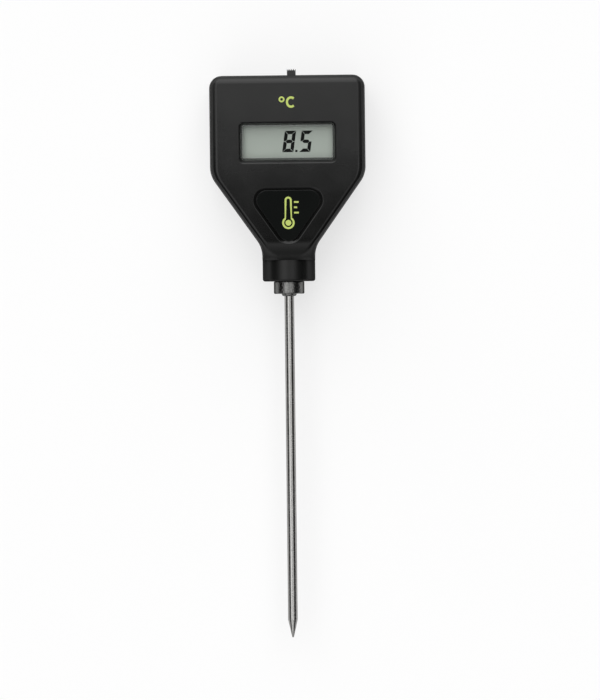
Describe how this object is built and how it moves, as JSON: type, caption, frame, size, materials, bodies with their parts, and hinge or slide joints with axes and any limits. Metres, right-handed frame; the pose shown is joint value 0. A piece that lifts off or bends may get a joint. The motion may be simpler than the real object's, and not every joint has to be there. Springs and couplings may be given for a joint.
{
  "type": "soil thermometer probe",
  "caption": "Pocket digital thermometer with a shield-shaped plastic housing, small display, slide switch and a long pointed metal probe for soil or compost.",
  "frame": {"origin": "on the flat back face, on the centre line, straight behind the middle of the display recess", "axes": "+X to the right of the display, +Y along the probe axis away from the tip, +Z out of the display; the instrument lies on its back"},
  "size_m": [0.05, 0.1825, 0.025],
  "materials": {
    "housing_plastic": "fine satin black moulding",
    "knob_plastic": "ridged black moulding",
    "inlay_black": "glossy black sheet",
    "lens_clear": "clear moulded lens",
    "display_glass": "grey-green reflective display glass",
    "frame_plastic": "black moulding",
    "chip_plastic": "moulded chip body",
    "strip_rubber": "layered elastomer",
    "board_laminate": "green solder resist on glass-fibre laminate",
    "base_laminate": "brown laminate",
    "collar_steel": "satin turned metal",
    "nut_steel": "plated steel",
    "probe_steel": "polished stainless steel",
    "screw_steel": "zinc-plated steel",
    "case_steel": "tinned sheet",
    "can_metal": "drawn can",
    "contact_brass": "plated spring brass",
    "cell_jacket": "plain printed jacket on a metal can",
    "sensor_bead": "coated bead",
    "lead_insulation": "insulation"
  },
  "bodies": {
    "housing": {"front_shell": "housing_plastic", "rear_cover": "housing_plastic", "front_inlay": "inlay_black", "display_window": "lens_clear", "lcd_front_glass": "display_glass", "lcd_rear_glass": "display_glass", "lcd_frame": "frame_plastic", "processor_chip": "chip_plastic", "zebra_strip_upper": "strip_rubber", "zebra_strip_lower": "strip_rubber", "circuit_board": "board_laminate", "switch_base": "base_laminate", "probe_collar": "collar_steel", "collar_nut": "nut_steel", "collar_washer": "nut_steel", "probe_tube": "probe_steel", "probe_tip": "probe_steel", "cover_screw_1": "screw_steel", "cover_screw_2": "screw_steel", "cover_screw_3": "screw_steel", "cover_screw_4": "screw_steel", "board_screw_1": "screw_steel", "board_screw_2": "screw_steel", "board_screw_3": "screw_steel", "switch_case": "case_steel", "clock_crystal": "can_metal", "buffer_capacitor": "can_metal", "switch_pin_1": "contact_brass", "switch_pin_2": "contact_brass", "switch_pin_3": "contact_brass", "battery_contact": "contact_brass", "battery_spring": "contact_brass", "battery": "cell_jacket", "thermistor": "sensor_bead", "sensor_lead_1": "lead_insulation", "sensor_lead_2": "lead_insulation", "lead_sleeve": "lead_insulation"},
    "switch_slider": {"switch_knob": "knob_plastic", "switch_contact": "contact_brass"}
  },
  "joints": [
    {"name": "switch_slide", "type": "slide", "parent": "housing", "child": "switch_slider", "axis": [1, 0, 0], "range_m": [-0.0029, 0]}
  ]
}
